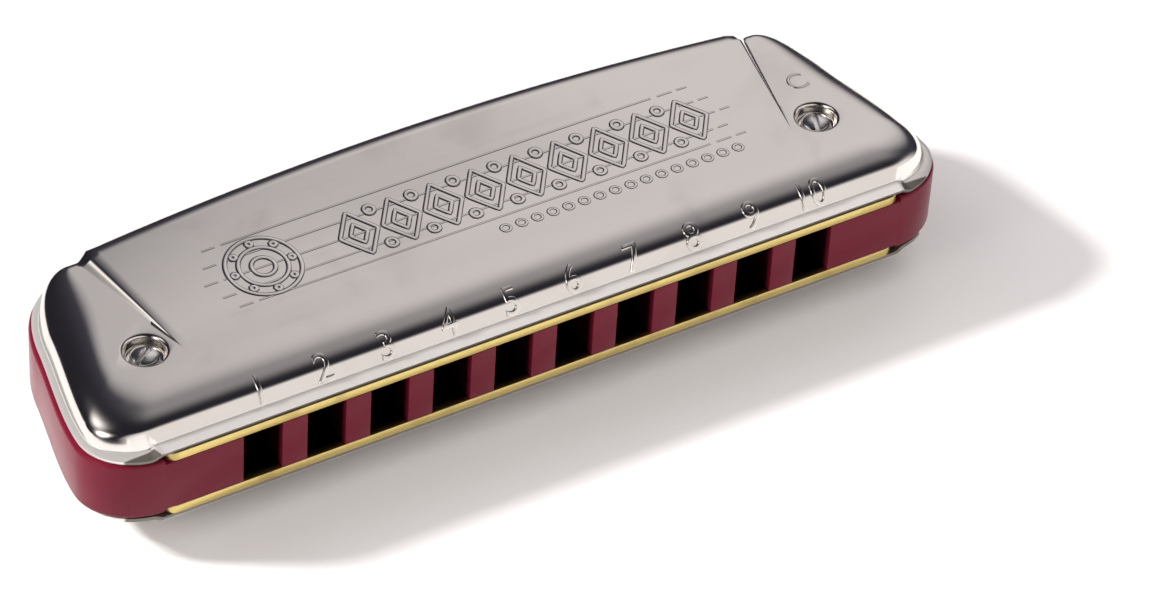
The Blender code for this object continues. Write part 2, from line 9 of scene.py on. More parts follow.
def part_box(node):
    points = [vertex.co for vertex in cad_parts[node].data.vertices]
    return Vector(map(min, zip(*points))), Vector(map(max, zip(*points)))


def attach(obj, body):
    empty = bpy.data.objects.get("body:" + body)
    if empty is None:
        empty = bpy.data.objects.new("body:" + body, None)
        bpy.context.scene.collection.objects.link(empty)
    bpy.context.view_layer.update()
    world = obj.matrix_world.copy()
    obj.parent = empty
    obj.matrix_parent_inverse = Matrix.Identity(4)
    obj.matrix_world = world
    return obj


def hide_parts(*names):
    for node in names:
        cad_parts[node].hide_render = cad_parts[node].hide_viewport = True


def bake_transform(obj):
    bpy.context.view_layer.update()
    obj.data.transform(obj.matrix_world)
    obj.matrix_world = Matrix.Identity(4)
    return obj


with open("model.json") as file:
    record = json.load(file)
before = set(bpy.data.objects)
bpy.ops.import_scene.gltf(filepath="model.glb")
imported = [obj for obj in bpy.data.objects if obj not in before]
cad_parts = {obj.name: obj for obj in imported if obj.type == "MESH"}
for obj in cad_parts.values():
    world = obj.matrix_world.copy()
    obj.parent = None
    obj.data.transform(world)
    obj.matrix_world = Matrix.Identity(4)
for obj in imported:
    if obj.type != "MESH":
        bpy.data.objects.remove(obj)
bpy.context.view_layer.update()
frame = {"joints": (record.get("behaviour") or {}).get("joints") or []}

mm = 0.001
combLow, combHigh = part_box("comb")
frontY = combLow.y                        # the mouth face
midZ = (combLow.z + combHigh.z) / 2       # the comb's middle plane
rootBody = "harmonica_body"
holeCount = 10


def place(x, y, z):
    # millimetres from the middle of the mouth face to the world
    return Vector((x * mm, frontY + y * mm, midZ + z * mm))


def middleOf(node):
    low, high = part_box(node)
    return (low + high) / 2


def localOf(point):
    return Vector((point.x / mm, (point.y - frontY) / mm, (point.z - midZ) / mm))


def localBox(node):
    return [localOf(corner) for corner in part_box(node)]


comb = {
    "halfLength": combHigh.x / mm,
    "depth": (combHigh.y - combLow.y) / mm,
    "halfThickness": (combHigh.z - combLow.z) / 2 / mm,
    "noseY": 6.2, "taper": 2.4, "frontTurn": 7.4, "heel": 9.4, "backTurn": 9.9, "swell": 0.55,
    "holeWidth": 4.55, "chamberRadius": 1.1, "rimRadius": 0.45, "edgeRadius": 0.1,
    "boreRadius": 1.02, "screwBoreRadius": 0.77, "seatGap": 0.06, "chamberPastPad": 1.2,
}
plateLow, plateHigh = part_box("blow_reed_plate")
plate = {
    "halfLength": plateHigh.x / mm,
    "depth": (plateHigh.y - plateLow.y) / mm,
    "innerZ": (plateLow.z - midZ) / mm,
    "cornerRadius": 1.4, "edgeRadius": 0.07, "slotClearance": 0.1, "tipClearance": 0.15,
    "rivetHole": 0.77,
}
holeX = [middleOf("blow_reed_%02d" % (h + 1)).x / mm for h in range(holeCount)]


# ---- shader helper

class Wire:
    # a shader value that takes part in ordinary arithmetic
    def __init__(self, tree, socket=None):
        self.tree = tree
        self.socket = socket

    def node(self, kind, settings=None, values=None, out=0):
        made = self.tree.nodes.new(kind)
        for key, value in (settings or {}).items():
            if key == "stops":
                ramp = made.color_ramp.elements
                while len(ramp) < len(value):
                    ramp.new(0.5)
                for element, (spot, color) in zip(ramp, value):
                    element.position = spot
                    element.color = color
            else:
                setattr(made, key, value)
        for key, value in (values or {}).items():
            if isinstance(value, Wire):
                self.tree.links.new(value.socket, made.inputs[key])
            else:
                made.inputs[key].default_value = value
        return Wire(self.tree, made.outputs[out])

    def maths(self, operation, first, second):
        return self.node("ShaderNodeMath", {"operation": operation}, {0: first, 1: second})

    def __add__(self, other):
        return self.maths("ADD", self, other)

    def __radd__(self, other):
        return self.maths("ADD", other, self)

    def __sub__(self, other):
        return self.maths("SUBTRACT", self, other)

    def __rsub__(self, other):
        return self.maths("SUBTRACT", other, self)

    def __mul__(self, other):
        return self.maths("MULTIPLY", self, other)

    def __rmul__(self, other):
        return self.maths("MULTIPLY", other, self)

    def __pow__(self, other):
        return self.maths("POWER", self, other)

    def between(self, low, high, start=0.0, stop=1.0):
        # smooth ramp of this value from low to high
        return self.node("ShaderNodeMapRange", {"interpolation_type": "SMOOTHSTEP"},
                         {"Value": self, "From Min": low, "From Max": high,
                          "To Min": start, "To Max": stop})

    def blend(self, first, second):
        # colour between first and second by this value
        return self.node("ShaderNodeMix", {"data_type": "RGBA"},
                         {0: self, 6: first, 7: second}, out=2)


class Finish:
    # a material with a Principled shader, object coordinates and a few ready patterns
    def __init__(self, name, color, roughness, metallic=0.0, **extra):
        self.material = bpy.data.materials.new(name)
        self.material.use_nodes = True
        self.tree = self.material.node_tree
        self.shader = self.tree.nodes["Principled BSDF"]
        self.shader.inputs["Base Color"].default_value = (*color, 1.0)
        self.shader.inputs["Roughness"].default_value = roughness
        self.shader.inputs["Metallic"].default_value = metallic
        for key, value in extra.items():
            self.shader.inputs[key.replace("_", " ")].default_value = value
        self.wire = Wire(self.tree)
        self.spot = self.wire.node("ShaderNodeTexCoord", out="Object")

    def noise(self, scale, detail=3.0, stretch=(1.0, 1.0, 1.0), turn=0.0, distortion=0.0):
        mapped = self.wire.node("ShaderNodeMapping", {},
                                {"Vector": self.spot, "Scale": stretch,
                                 "Rotation": (0.0, 0.0, turn)})
        return self.wire.node("ShaderNodeTexNoise", {},
                              {"Vector": mapped, "Scale": scale, "Detail": detail,
                               "Distortion": distortion})

    def band(self, axis, low, high, soft=0.1):
        # one between two places along an axis, in millimetres from the mouth face's middle
        value = self.wire.node("ShaderNodeSeparateXYZ", {}, {0: self.spot}, out=axis)
        value = value * 1000.0 - (0.0, frontY / mm, midZ / mm)[axis]
        rising = value.between(low - soft, low + soft)
        return rising * value.between(high - soft, high + soft, 1.0, 0.0)

    def chambers(self):
        # one on whatever faces the air channels, where the finishes paint shade into the chambers
        return self.band(0, -36.9, 36.9) * self.band(1, 0.6, 25.2, 0.5) * self.band(2, -3.3, 3.3, 0.05)

    def drive(self, socket, value):
        self.tree.links.new(value.socket, self.shader.inputs[socket])

    def bump(self, height, distance, strength=1.0):
        node = self.wire.node("ShaderNodeBump", {},
                              {"Height": height, "Distance": distance, "Strength": strength})
        self.drive("Normal", node)


def nickelFinish():
    # polished nickel plate: faint polishing marks, a few smudges, a trace of orange peel, a satin flange
    # whose colour is painted lighter as a painted sheen, and painted shade along the front edge
    made = Finish("polishedNickel", (0.80, 0.765, 0.73), 0.13, 1.0)
    # satin flange and lower rim: rougher and less metallic, partly a real satin finish, and painted
    # lighter as a painted sheen
    front = made.band(2, -5.02, 5.02, 0.06) * made.band(0, -46.0, 46.0) * made.band(1, -2.0, 2.2)
    satinAndPaintedSheen = front.maths("MAXIMUM", front, made.band(2, -4.52, 4.52, 0.06))
    smudge = made.noise(90.0, 4.0, distortion=0.6).between(0.48, 0.74)
    hairs = made.noise(900.0, 2.0, stretch=(0.04, 1.0, 1.0), turn=0.12).between(0.55, 0.8)
    made.drive("Roughness", 0.115 + smudge * 0.05 + hairs * 0.035 + satinAndPaintedSheen * 0.2)
    made.drive("Metallic", 1.0 - satinAndPaintedSheen * 0.35)
    bright = smudge.blend((0.81, 0.775, 0.74, 1.0), (0.75, 0.715, 0.68, 1.0))
    # painted sheen: the satin band's colour is lifted towards ivory
    bright = (satinAndPaintedSheen * 0.7).blend(bright, (0.93, 0.9, 0.86, 1.0))
    # painted shade: the sheet's front edge at the flange is painted near black, for the shadowed gap
    # between the cover and the reed plate
    cut = made.band(2, -4.7, 4.7, 0.03) * made.band(1, -2.0, 1.3)
    made.drive("Base Color", (cut * 0.85).blend(bright, (0.07, 0.055, 0.035, 1.0)))
    peel = made.noise(260.0, 2.0)
    made.bump(peel * 0.8 + hairs * 0.2, 0.000012, 0.5)
    return made.material


def plasticFinish():
    # glossy moulded burgundy plastic
    made = Finish("burgundyPlastic", (0.2, 0.012, 0.032), 0.2, 0.0, IOR=1.5,
                  Specular_IOR_Level=0.18)
    flow = made.noise(55.0, 3.0, stretch=(0.35, 1.0, 1.0), distortion=0.4)
    color = flow.blend((0.13, 0.006, 0.019, 1.0), (0.175, 0.01, 0.028, 1.0))
    # painted shade: the comb's faces inside the air channels are painted near black, as if in shadow
    made.drive("Base Color", made.chambers().blend(color, (0.008, 0.001, 0.002, 1.0)))
    made.drive("Roughness", 0.24 + flow * 0.08)
    made.bump(made.noise(700.0, 2.0), 0.000006, 0.3)
    return made.material


def brassFinish(name, color, dark, roughness):
    # rolled brass sheet: grain along the length, darker where it has tarnished, and painted shade on the
    # faces inside the air channels
    made = Finish(name, color, roughness, 1.0)
    grain = made.noise(1400.0, 2.0, stretch=(0.05, 1.0, 1.0))
    tarnish = made.noise(140.0, 4.0, distortion=0.8).between(0.45, 0.8)
    sheet = tarnish.blend((*color, 1.0), (*dark, 1.0))
    # painted shade: faces inside the air channels are painted dark brown, as if in shadow
    made.drive("Base Color", made.chambers().blend(sheet, (0.05, 0.03, 0.012, 1.0)))
    made.drive("Roughness", roughness + grain * 0.12 + tarnish * 0.12)
    made.bump(grain, 0.000015, 0.6)
    return made.material


def reedFinish():
    # bronze strip with milling marks across it and tuning scratches, painted dark inside the air channels
    # as painted shade
    made = Finish("reedBronze", (0.78, 0.56, 0.27), 0.24, 1.0)
    milled = made.noise(2600.0, 1.0, stretch=(0.03, 1.0, 1.0))
    scratch = made.noise(1500.0, 2.0, stretch=(1.0, 0.06, 1.0), turn=0.2).between(0.6, 0.8)
    strip = scratch.blend((0.78, 0.56, 0.27, 1.0), (0.86, 0.68, 0.4, 1.0))
    # painted shade: the reeds inside the air channels are painted dark, as if in shadow
    made.drive("Base Color", made.chambers().blend(strip, (0.09, 0.055, 0.025, 1.0)))
    made.drive("Roughness", 0.2 + milled * 0.16 + scratch * 0.1)
    made.bump(milled * 0.7 + scratch * 0.3, 0.00002, 0.7)
    return made.material


def steelFinish():
    # nickel-plated screws with patches of wear and a fine grain in the bump
    made = Finish("screwSteel", (0.74, 0.72, 0.69), 0.2, 1.0)
    wear = made.noise(420.0, 3.0).between(0.45, 0.75)
    made.drive("Base Color", wear.blend((0.86, 0.84, 0.81, 1.0), (0.7, 0.67, 0.63, 1.0)))
    made.drive("Roughness", 0.2 + wear * 0.16)
    made.bump(made.noise(2600.0, 1.0), 0.00001, 0.5)
    return made.material


nickel = nickelFinish()
plastic = plasticFinish()
brass = brassFinish("plateBrass", (0.68, 0.54, 0.2), (0.46, 0.34, 0.12), 0.26)
rivetBrass = brassFinish("rivetBrass", (0.8, 0.6, 0.28), (0.55, 0.38, 0.16), 0.24)
bronze = reedFinish()
steel = steelFinish()
print("materials made")


# ---- mesh helpers

def inScene(name, data):
    made = bpy.data.objects.new(name, data)
    bpy.context.scene.collection.objects.link(made)
    return made


def newPiece(name, mesh, material, sharpAngle=32.0):
    for polygon in mesh.polygons:
        polygon.use_smooth = True
    mesh.set_sharp_from_angle(angle=math.radians(sharpAngle))
    mesh.materials.clear()
    mesh.materials.append(material)
    return inScene(name, mesh)


def meshFrom(bm):
    mesh = bpy.data.meshes.new("shape")
    bm.to_mesh(mesh)
    bm.free()
    return mesh


def applied(piece):
    # bakes the modifiers into a plain mesh and clears them
    bpy.context.view_layer.update()
    depsgraph = bpy.context.evaluated_depsgraph_get()
    mesh = bpy.data.meshes.new_from_object(piece.evaluated_get(depsgraph))
    piece.modifiers.clear()
    piece.data = mesh
    return piece


def fixedPiece(draft, name, material, nodes):
    # the draft's mesh as a fixed piece that stands in for its CAD nodes
    piece = newPiece(name, draft.data, material)
    bpy.data.objects.remove(draft)
    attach(piece, rootBody)
    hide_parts(*nodes)


def bezier(a, b, c, d, t):
    s = 1 - t
    return tuple(p * s ** 3 + 3 * q * s * s * t + 3 * r * s * t * t + e * t ** 3
                 for p, q, r, e in zip(a, b, c, d))


def planStretches(front, side, rear=None):
    # right half of the comb's outline, moved in by front, side and rear
    rear = side if rear is None else rear
    # a line far inside the edge turns its corner earlier, so that it stays round
    early = [max(inset - 1.5, 0.0) * 0.62 for inset in (side, front)]
    turn = (comb["halfLength"] - comb["frontTurn"] - early[0], front)
    nose = (comb["halfLength"] - side, comb["noseY"] + early[1])
    waist = (comb["halfLength"] - comb["taper"] - side, comb["depth"] - comb["heel"])
    back = (comb["halfLength"] - comb["backTurn"], comb["depth"] - rear)
    swell = comb["swell"]
    run = 0.29 * (waist[1] - nose[1])
    slope = comb["taper"] / (waist[1] - nose[1])
    heelRun = swell * (back[1] - waist[1])
    return [
        (turn, (turn[0] + swell * (nose[0] - turn[0]), front),
         (nose[0], nose[1] - swell * (nose[1] - front)), nose),
        (nose, (nose[0], nose[1] + run), (waist[0] + slope * run, waist[1] - run), waist),
        (waist, (waist[0] - slope * heelRun, waist[1] + heelRun),
         (back[0] + swell * (waist[0] - back[0]), back[1]), back),
    ]


def planCurve(front, side, counts, rear=None):
    stretches = planStretches(front, side, rear)
    points = [stretches[0][0]]
    for stretch, count in zip(stretches, counts):
        points += [bezier(*stretch, step / count) for step in range(1, count + 1)]
    return points


def slabFromOutline(points, low, high):
    # closed prism over an outline of (x, y) points in millimetres
    bm = bmesh.new()
    floor = [bm.verts.new(place(x, y, low)) for x, y in points]
    face = bm.faces.new(floor)
    grown = bmesh.ops.extrude_face_region(bm, geom=[face])
    rise = Vector((0, 0, (high - low) * mm))
    for item in grown["geom"]:
        if isinstance(item, bmesh.types.BMVert):
            item.co += rise
    bmesh.ops.recalc_face_normals(bm, faces=bm.faces)
    return bm


def roundedBox(x0, x1, y0, y1, radius, steps=5, corners=(True, True, True, True)):
    # outline of a box with rounded corners, anticlockwise from the front left
    points = []
    centres = [(x0, y0, 1, 1, 180), (x1, y0, -1, 1, 270), (x1, y1, -1, -1, 0), (x0, y1, 1, -1, 90)]
    for rounded, (x, y, sx, sy, start) in zip(corners, centres):
        if not rounded:
            points.append((x, y))
            continue
        for step in range(steps + 1):
            angle = math.radians(start + 90 * step / steps)
            points.append((x + sx * radius + radius * math.cos(angle),
                           y + sy * radius + radius * math.sin(angle)))
    return points


def circle(x, y, radius, steps=28):
    return [(x + radius * math.cos(math.tau * s / steps), y + radius * math.sin(math.tau * s / steps))
            for s in range(steps)]


def joinedMesh(shapes, base=None):
    bm = bmesh.new()
    if base:
        bm.from_mesh(base)
    for shape in shapes:
        mesh = meshFrom(shape)
        bm.from_mesh(mesh)
        bpy.data.meshes.remove(mesh)
    return meshFrom(bm)


def cutWith(piece, shapes, operation="DIFFERENCE"):
    # shapes are bmeshes that don't touch each other, cut in one go
    tool = inScene("tool", joinedMesh(shapes))
    step = piece.modifiers.new("cut", "BOOLEAN")
    step.object = tool
    step.operation = operation
    step.solver = "EXACT"
    applied(piece)
    bpy.data.objects.remove(tool)


def flattened(piece):
    # large flat faces keep their own direction where they meet small ones
    step = piece.modifiers.new("normals", "WEIGHTED_NORMAL")
    step.keep_sharp = True
    step.weight = 90
    return applied(piece)


def bevelEdges(piece, width, segments, angle=35.0):
    step = piece.modifiers.new("round", "BEVEL")
    step.width = width * mm
    step.segments = segments
    step.limit_method = "ANGLE"
    step.angle_limit = math.radians(angle)
    step.use_clamp_overlap = True
    applied(piece)


def turnedShape(profile, steps, centre, closed=False):
    # solid of revolution from (radius, z) points listed top to bottom, or a ring where closed
    bm = bmesh.new()
    rings = []
    for radius, z in profile:
        spots = [(0.0, 0.0)] if radius == 0.0 else circle(0.0, 0.0, radius * mm, steps)
        rings.append([bm.verts.new(centre + Vector((x, y, z * mm))) for x, y in spots])
    for upper, lower in zip(rings, rings[1:] + (rings[:1] if closed else [])):
        for s in range(steps):
            n = (s + 1) % steps
            corners = [upper[s % len(upper)], lower[s % len(lower)],
                       lower[n % len(lower)], upper[n % len(upper)]]
            unique = list(dict.fromkeys(corners))
            if len(unique) > 2:
                bm.faces.new(unique)
    bmesh.ops.recalc_face_normals(bm, faces=bm.faces)
    return bm


# ---- where the reeds and screws are

def reedFacts(kind, hole):
    name = "%s_reed_%02d" % (kind, hole + 1)
    low, high = localBox(name)
    joint = next(j for j in frame["joints"] if j["name"] == name + "_bend")
    root = localOf(Vector(joint["pos_m"]))
    forward = -1 if kind == "blow" else 1
    tip = low.y if forward < 0 else high.y
    padEnd = high.y if forward < 0 else low.y
    return {"name": name, "body": joint["child"], "x": root.x, "root": root.y, "tip": tip,
            "padEnd": padEnd, "forward": forward, "face": high.z, "low": low.z}


reeds = {kind: [reedFacts(kind, hole) for hole in range(holeCount)] for kind in ("blow", "draw")}
coverScrews = [localOf(middleOf("cover_screw_%d" % n)) for n in (1, 2)]
plateScrews = [localOf(middleOf("plate_screw_%d" % n)) for n in range(1, 6)]


def screwBores(bottom, top):
    # the screws' holes through the comb and the plates
    holes = [(centre, comb["boreRadius"]) for centre in coverScrews]
    holes += [(centre, comb["screwBoreRadius"]) for centre in plateScrews]
    return [slabFromOutline(circle(centre.x, centre.y, radius), bottom, top) for centre, radius in holes]


# ---- comb

def buildComb():
    half = planCurve(0.0, 0.0, (26, 16, 26))
    outline = half + [(-x, y) for x, y in reversed(half)]
    z = comb["halfThickness"]
    body = newPiece("combBody", meshFrom(slabFromOutline(outline, -z, z)), plastic)
    bevelEdges(body, comb["rimRadius"], 4, 60.0)
    gap = comb["seatGap"]
    seat = plate["innerZ"] - gap
    seatOutline = roundedBox(-plate["halfLength"] - gap, plate["halfLength"] + gap, -2.0,
                             plate["depth"] + gap, plate["cornerRadius"], 6,
                             (False, False, True, True))
    cutWith(body, [slabFromOutline(seatOutline, seat, z + 2), slabFromOutline(seatOutline, -z - 2, -seat)])
    chambers = []
    for hole, x in enumerate(holeX):
        back = reeds["blow"][hole]["padEnd"] + comb["chamberPastPad"]
        side = comb["holeWidth"] / 2
        outline = roundedBox(x - side, x + side, -2.0, back, comb["chamberRadius"], 6,
                             (False, False, True, True))
        chambers.append(slabFromOutline(outline, -z - 2, z + 2))
    cutWith(body, chambers + screwBores(-z - 2, z + 2))
    bevelEdges(body, comb["edgeRadius"], 2, 50.0)
    fixedPiece(body, "combMoulding", plastic, ["comb"])


buildComb()
print("comb made")


# ---- reed plates and reeds: a reed is a milled strip with a thick pad

reedShape = {"padWidth": 3.0, "padThick": 0.5, "width": 2.0, "tipWidth": 1.86,
             "rootThick": 0.27, "waistThick": 0.17, "tipThick": 0.25, "offset": 0.06,
             "neck": 0.35, "corner": 0.25, "eyeRadius": 0.77, "edge": 0.03, "bendStart": 0.1,
             "bendEnd": 0.55}


def buildPlate(kind):
    bottom, top = (corner.z for corner in localBox(kind + "_reed_plate"))
    outline = roundedBox(-plate["halfLength"], plate["halfLength"], 0.0, plate["depth"],
                         plate["cornerRadius"], 7)
    piece = newPiece(kind + "PlateDraft", meshFrom(slabFromOutline(outline, bottom, top)), brass)
    cuts = []
    for reed in reeds[kind]:
        side = reedShape["width"] / 2 + plate["slotClearance"]
        ends = sorted((reed["root"], reed["tip"] + reed["forward"] * plate["tipClearance"]))
        cuts.append(slabFromOutline(roundedBox(reed["x"] - side, reed["x"] + side, *ends, 0.15, 2),
                                    bottom - 1, top + 1))
        rivetY = (reed["root"] + reed["padEnd"]) / 2
        cuts.append(slabFromOutline(circle(reed["x"], rivetY, plate["rivetHole"], 16),
                                    bottom - 1, top + 1))
    cutWith(piece, cuts + screwBores(bottom - 1, top + 1))
    bevelEdges(piece, plate["edgeRadius"], 2, 50.0)
    fixedPiece(piece, kind + "ReedPlate", brass, [kind + "_reed_plate"])


for kind in ("blow", "draw"):
    buildPlate(kind)
print("reed plates made")


# ---- reeds

def buildReed(reed, kind, hole):
    # cross-sections (distance from the root, half width, thickness, stand-off)
    length = abs(reed["tip"] - reed["root"])
    padLength = abs(reed["padEnd"] - reed["root"])
    s = reedShape
    padHalf, corner, thick = s["padWidth"] / 2, s["corner"], s["padThick"]
    sections = [(-padLength, padHalf - corner, thick, 0.0),
                (-padLength + corner, padHalf, thick, 0.0),
                (-s["neck"], padHalf, thick, 0.0),
                (-s["neck"] * 0.4, padHalf - corner, thick, 0.02),
                (0.0, s["width"] / 2, s["rootThick"] + 0.06, s["offset"])]
    steps = 18
    for step in range(1, steps + 1):
        t = step / steps
        waist = math.exp(-((t - 0.55) / 0.25) ** 2)
        thick = s["rootThick"] + (s["tipThick"] - s["rootThick"]) * t
        thick -= (s["rootThick"] - s["waistThick"]) * waist
        wide = s["width"] / 2 + (s["tipWidth"] - s["width"]) / 2 * t
        sections.append((length * t, wide, thick, s["offset"]))
    bm = bmesh.new()
    rings = []
    for along, wide, thick, off in sections:
        y = reed["root"] + reed["forward"] * along
        top = reed["face"] - off
        rings.append([bm.verts.new(place(reed["x"] + dx, y, z)) for dx, z in
                      ((-wide, top), (wide, top), (wide, top - thick), (-wide, top - thick))])
    for a, b in zip(rings, rings[1:]):
        for k in range(4):
            n = (k + 1) % 4
            bm.faces.new((a[k], a[n], b[n], b[k]))
    bm.faces.new(rings[0])
    bm.faces.new(rings[-1])
    bmesh.ops.recalc_face_normals(bm, faces=bm.faces)
    draft = newPiece("draft", meshFrom(bm), bronze)
    eyeY = (reed["root"] + reed["padEnd"]) / 2
    eye = circle(reed["x"], eyeY, s["eyeRadius"], 16)
    cutWith(draft, [slabFromOutline(eye, reed["face"] - 2, reed["face"] + 1)])
    bevelEdges(draft, s["edge"], 1, 50.0)
    strip = newPiece("%sReed%02d" % (kind, hole + 1), draft.data, bronze)
    bpy.data.objects.remove(draft)
    place(reed["x"], reed["root"] - reed["forward"] * s["bendStart"], 0)
    place(reed["x"], reed["root"] + reed["forward"] * length * s["bendEnd"], 0)
    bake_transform(strip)
    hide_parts(reed["name"])


for kind in ("blow", "draw"):
    for hole, reed in enumerate(reeds[kind]):
        buildReed(reed, kind, hole)
print("reeds made")


# ---- rivets, one on every pad

rivetShape = {"shank": 0.65, "head": 1.0, "headHeight": 0.35, "steps": 20}


def newTree(name, inputs):
    # a Geometry Nodes group, its named inputs as wires, and their identifiers
    group = bpy.data.node_groups.new(name, "GeometryNodeTree")
    group.interface.new_socket("Geometry", in_out="OUTPUT", socket_type="NodeSocketGeometry")
    identifiers = {}
    for label, kind in inputs.items():
        socket = group.interface.new_socket(label, in_out="INPUT", socket_type="NodeSocket" + kind)
        identifiers[label] = socket.identifier
    source = group.nodes.new("NodeGroupInput")
    given = {label: Wire(group, source.outputs[label]) for label in inputs}
    return group, given, identifiers


def endTree(group, geometry, finish):
    wire = Wire(group)
    real = wire.node("GeometryNodeRealizeInstances", {}, {"Geometry": geometry})
    done = wire.node("GeometryNodeSetMaterial", {}, {"Geometry": real, "Material": finish})
    group.links.new(done.socket, group.nodes.new("NodeGroupOutput").inputs["Geometry"])


def meshAfter(holder, tree, identifiers, values):
    # the holder's mesh after its tree, as a plain mesh
    step = holder.modifiers.new("tree", "NODES")
    step.node_group = tree
    for label, value in values.items():
        step[identifiers[label]] = value
    mesh = applied(holder).data
    bpy.data.objects.remove(holder)
    return mesh


def scatterTree():
    # points in, one copy of the given shape on each point out
    group, given, identifiers = newTree("copiesOnPoints", {
        "Geometry": "Geometry", "Shape": "Object", "Turn Spread": "Float", "Finish": "Material"})
    wire = Wire(group)
    shape = wire.node("GeometryNodeObjectInfo", {}, {"Object": given["Shape"]}, "Geometry")
    points = wire.node("GeometryNodeMeshToPoints", {}, {"Mesh": given["Geometry"]})
    turn = wire.node("FunctionNodeRandomValue", {}, {"Seed": 7, 3: given["Turn Spread"]}, 1)
    around = wire.node("ShaderNodeCombineXYZ", {}, {"Z": turn})
    copies = wire.node("GeometryNodeInstanceOnPoints", {},
                       {"Points": points, "Instance": shape, "Rotation": around})
    endTree(group, copies, given["Finish"])
    return group, identifiers


scatterGroup, scatterIdentifiers = scatterTree()


def scatter(spots, shape, material, turn=0.0):
    # shape is a bmesh about the origin; spots are world points
    pattern = inScene("pattern", meshFrom(shape))
    bm = bmesh.new()
    for spot in spots:
        bm.verts.new(spot)
    mesh = meshAfter(inScene("points", meshFrom(bm)), scatterGroup, scatterIdentifiers,
                     {"Shape": pattern, "Turn Spread": turn, "Finish": material})
    bpy.data.objects.remove(pattern)
    return inScene("draft", mesh)


def buildRivets(kind):
    low, high = localBox(kind + "_rivet_01")
    total = high.z - low.z
    s = rivetShape
    cap = s["headHeight"]
    dome = [(s["head"] * math.cos(a), -cap * math.sin(a)) for a in
            (math.radians(d) for d in (0, 20, 40, 60, 78))]
    profile = [(0.0, total - cap), (s["shank"] - 0.08, total - cap), (s["shank"], total - cap - 0.06),
               (s["shank"], 0.0)] + dome + [(0.0, -cap)]
    shape = turnedShape(profile, s["steps"], Vector((0, 0, 0)))
    spots = [place(reed["x"], (reed["root"] + reed["padEnd"]) / 2, low.z + cap) for reed in reeds[kind]]
    fixedPiece(scatter(spots, shape, rivetBrass), kind + "Rivets", rivetBrass,
               ["%s_rivet_%02d" % (kind, n + 1) for n in range(holeCount)])


for kind in ("blow", "draw"):
    buildRivets(kind)
print("rivets made")


# ---- covers

cover = {
    "sheet": 0.4, "edgeFront": 0.1, "edgeSide": 0.35, "footFront": 1.6, "footSide": 1.15,
    "flangeTop": 4.74, "flangeTilt": 0.16, "joggle": 0.5, "fillet": 0.16, "wallRise": 1.05,
    "endTop": 7.7, "riseSide": 0.85, "riseMiddle": localBox("upper_cover")[1].z - 7.7, "bow": 1.4,
    "hoodBack": 28.7, "lipDrop": 0.8, "creaseY": 10.5, "creaseSpread": 3.76, "creaseWidth": 1.2,
    # the wall leans in at the front, the sides and the back, and runs into the roll
    "lean": (0.5, 0.12, 0.08), "frontRoll": 6.9, "sideRoll": 5.5, "backRoll": 1.27,
    "rollStart": 9.0, "sideDrop": 3.1, "backDrop": 1.0, "squareness": 2.15,
    "flatBackInset": 2.8, "easeMiddle": 0.6, "easeSide": 0.15,
    "dimpleRadius": 2.25, "dimpleFlare": 0.4, "dimpleFloor": 6.35, "bore": 1.02,
}
holesHalf = holeCount * (holeX[1] - holeX[0]) / 2
flatBack = comb["depth"] - cover["flatBackInset"]
fanCounts = (30, 16, 22)


def smooth(low, high, value):
    t = min(max((value - low) / (high - low), 0.0), 1.0)
    return t * t * (3 - 2 * t)


def flangeZ(x, y):
    past = smooth(plate["halfLength"] + 0.2, plate["halfLength"] + 1.5, abs(x))
    behind = smooth(plate["depth"] + 0.2, plate["depth"] + 1.5, y)
    return cover["flangeTop"] - cover["joggle"] * max(past, behind)


def wallRows():
    # (front, side and rear inset, kind, value): flange, foot fillet, wall, rolled edge, flat rim
    front, side = cover["footFront"], cover["footSide"]
    rows = [(cover["edgeFront"], cover["edgeSide"], cover["edgeSide"], "flange", 0.0),
            (front - 0.4, side - 0.4, side - 0.4, "flange", 0.8)]
    for step in range(5):
        angle = math.pi / 2 * step / 4
        reach = cover["fillet"] * (math.sin(angle) - 1)
        rows.append((front + reach, side + reach, side + reach, "fillet",
                     cover["flangeTilt"] + cover["fillet"] * (1 - math.cos(angle))))
    steps = 18
    power = 2 / cover["squareness"]
    first = math.radians(cover["rollStart"])
    frontLean, sideLean, backLean = cover["lean"]
    for step in range(steps + 1):
        angle = first + (math.pi / 2 - first) * step / steps
        inward = 1 - max(math.cos(angle), 0.0) ** power
        rows.append((front + frontLean + cover["frontRoll"] * inward,
                     side + sideLean + cover["sideRoll"] * inward,
                     side + backLean + cover["backRoll"] * inward, "roll", math.sin(angle) ** power))
    rows.append(tuple(inset + 0.25 for inset in rows[-1][:3]) + ("flat", 0.0))
    return rows


def rollDrop(column, count):
    # the front roll is deep, the sides a little tighter, the back corner tight
    share = smooth(3, fanCounts[0], column)
    back = smooth(count - 22, count - 3, column)
    frontDrop = cover["endTop"] - cover["flangeTop"] - cover["wallRise"]
    value = frontDrop + (cover["sideDrop"] - frontDrop) * share
    return value + (cover["backDrop"] - value) * back


def hoodZ(u, along):
    # the hood leaves the flat front gently, and more sharply beside the creases
    rise = cover["riseMiddle"] + (cover["riseSide"] - cover["riseMiddle"]) * u * u
    ease = cover["easeMiddle"] + (cover["easeSide"] - cover["easeMiddle"]) * u * u
    climb = along * along / (2 * ease) if along < ease else along - ease / 2
    return cover["endTop"] + rise * climb / (1 - ease / 2)


